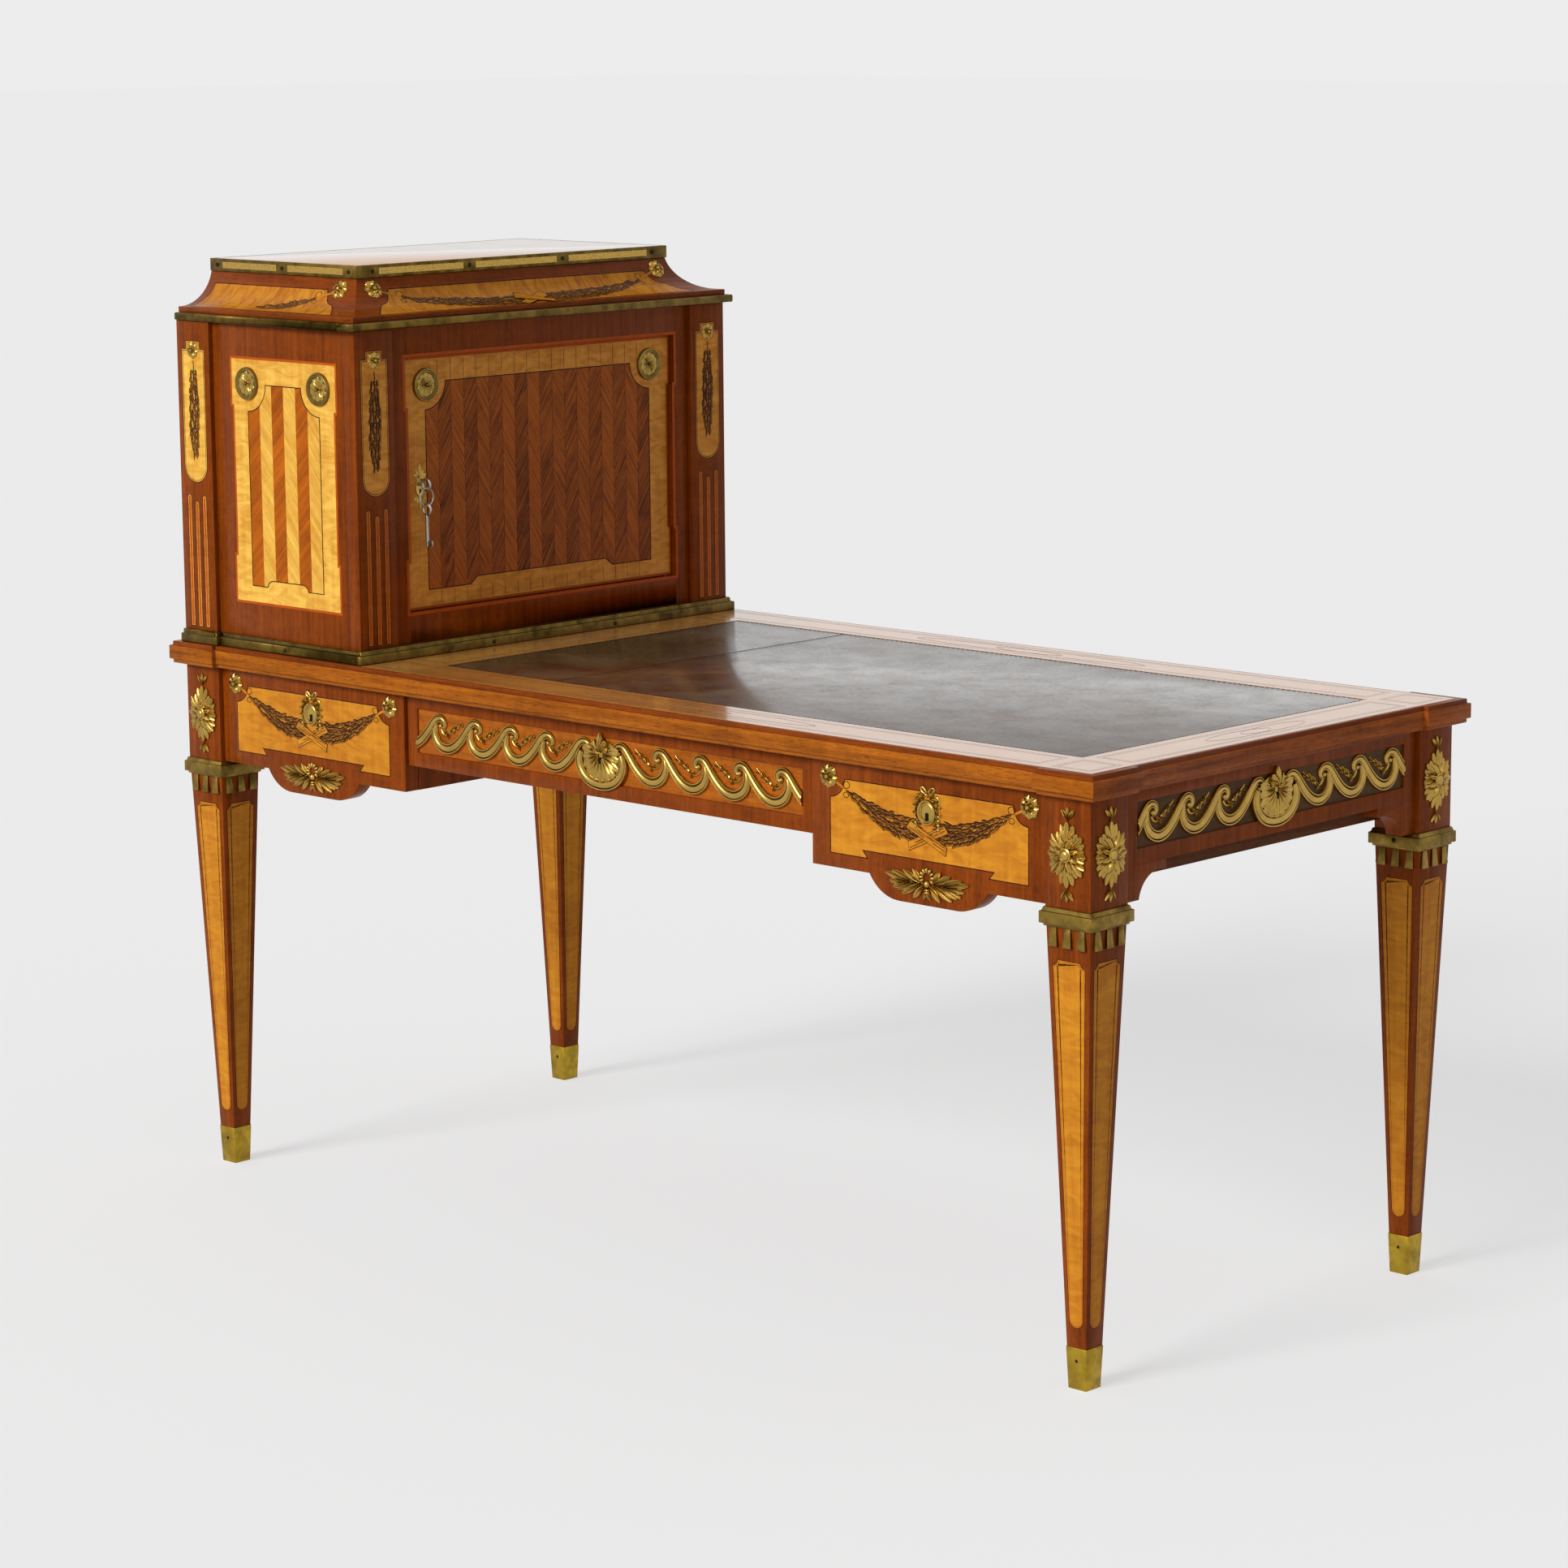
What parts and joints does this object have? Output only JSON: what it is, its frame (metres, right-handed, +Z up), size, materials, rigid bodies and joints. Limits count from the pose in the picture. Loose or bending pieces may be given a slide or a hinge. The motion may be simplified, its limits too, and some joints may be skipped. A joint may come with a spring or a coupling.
{
  "type": "writing desk with end cabinet",
  "caption": "Neoclassical writing table on tapered legs with frieze drawers, leather top and a coved end cabinet with a locking door, in inlaid mahogany with gilt mounts.",
  "frame": {"origin": "on the floor under the middle of the table", "axes": "+X along the length away from the cabinet, -Y towards the person at the drawers, +Z up"},
  "size_m": [1.735, 0.783, 1.33],
  "materials": {
    "mahogany": "French-polished mahogany veneer with satinwood and dyed inlay",
    "oak_lining": "plain planed oak, unpolished",
    "aged_brass": "old lacquered brass, dulled to olive",
    "gilt_bronze": "cast and chased gilt bronze",
    "lock_brass": "plain filed brass",
    "key_steel": "worn bright steel",
    "writing_leather": "dark polished writing leather with tooled edge"
  },
  "bodies": {
    "table": {"leg_front_left": "mahogany", "leg_front_right": "mahogany", "leg_back_left": "mahogany", "leg_back_right": "mahogany", "top_board": "mahogany", "end_aprons": "mahogany", "knee_partitions": "mahogany", "back_apron": "mahogany", "cabinet_sides": "mahogany", "cabinet_rear_posts": "mahogany", "cabinet_pilasters": "mahogany", "cabinet_back": "mahogany", "cabinet_floor": "mahogany", "cabinet_ceiling": "mahogany", "cabinet_shelf": "mahogany", "shelf_battens": "mahogany", "door_frame": "mahogany", "cove_hood": "mahogany", "cabinet_top": "mahogany", "drawer_runners": "oak_lining", "leg_collars": "aged_brass", "collar_drops": "aged_brass", "foot_caps": "aged_brass", "base_moulding": "aged_brass", "cornice_moulding": "aged_brass", "top_rim": "aged_brass", "brass_screws": "aged_brass", "leg_leaf_mounts": "gilt_bronze", "end_scroll_mounts": "gilt_bronze", "back_mounts": "gilt_bronze", "side_medallions": "gilt_bronze", "pilaster_rosettes": "gilt_bronze", "writing_leather": "writing_leather"},
    "door": {"door_panel": "mahogany", "door_medallions": "gilt_bronze", "door_lock": "lock_brass", "door_escutcheon": "gilt_bronze", "door_pivots": "aged_brass"},
    "turning_key": {"door_key": "key_steel"},
    "door_lock_bolt": {"door_bolt": "lock_brass"},
    "ring": {"key_ring": "key_steel"},
    "hanging_key": {"spare_key": "key_steel"},
    "left_drawer": {"left_drawer_front": "mahogany", "left_drawer_box": "oak_lining", "left_drawer_lock": "lock_brass", "left_drawer_mounts": "gilt_bronze"},
    "left_lock_bolt": {"left_drawer_bolt": "lock_brass"},
    "centre_drawer": {"centre_drawer_front": "mahogany", "centre_drawer_box": "oak_lining", "centre_drawer_lock": "lock_brass", "centre_drawer_mounts": "gilt_bronze"},
    "centre_lock_bolt": {"centre_drawer_bolt": "lock_brass"},
    "right_drawer": {"right_drawer_front": "mahogany", "right_drawer_box": "oak_lining", "right_drawer_lock": "lock_brass", "right_drawer_mounts": "gilt_bronze"},
    "right_lock_bolt": {"right_drawer_bolt": "lock_brass"}
  },
  "joints": [
    {"name": "left_drawer_slide", "type": "slide", "parent": "table", "child": "left_drawer", "axis": [0, -1, 0], "range_m": [0, 0.42]},
    {"name": "left_bolt_throw", "type": "slide", "parent": "left_drawer", "child": "left_lock_bolt", "axis": [0, 0, 1], "range_m": [0, 0.01]},
    {"name": "centre_drawer_slide", "type": "slide", "parent": "table", "child": "centre_drawer", "axis": [0, -1, 0], "range_m": [0, 0.42]},
    {"name": "centre_bolt_throw", "type": "slide", "parent": "centre_drawer", "child": "centre_lock_bolt", "axis": [0, 0, 1], "range_m": [0, 0.01]},
    {"name": "right_drawer_slide", "type": "slide", "parent": "table", "child": "right_drawer", "axis": [0, -1, 0], "range_m": [0, 0.42]},
    {"name": "right_bolt_throw", "type": "slide", "parent": "right_drawer", "child": "right_lock_bolt", "axis": [0, 0, 1], "range_m": [0, 0.01]},
    {"name": "door_hinge", "type": "hinge", "parent": "table", "child": "door", "pos_m": [-0.492, 0.256, 1.022], "axis": [0, 0, 1], "range_deg": [0, 90]},
    {"name": "key_turn", "type": "hinge", "parent": "door", "child": "turning_key", "pos_m": [-0.475, -0.236, 1.0215], "axis": [-1, 0, 0], "range_deg": [0, 90]},
    {"name": "door_bolt_throw", "type": "slide", "parent": "door", "child": "door_lock_bolt", "axis": [0, -1, 0], "range_m": [0, 0.01]},
    {"name": "ring_swing", "type": "hinge", "parent": "turning_key", "child": "ring", "pos_m": [-0.475, -0.236, 1.0135], "axis": [-1, 0, 0], "range_deg": [-90, 0]},
    {"name": "hanging_key_swing", "type": "hinge", "parent": "ring", "child": "hanging_key", "pos_m": [-0.475, -0.236, 0.9915], "axis": [0, -1, 0], "range_deg": [0, 50]}
  ],
  "couplings": [
    {"joint": "key_turn", "follows": "door_bolt_throw", "rad_per_m": 157.06},
    {"joint": "ring_swing", "follows": "door_bolt_throw", "rad_per_m": -157.06}
  ]
}
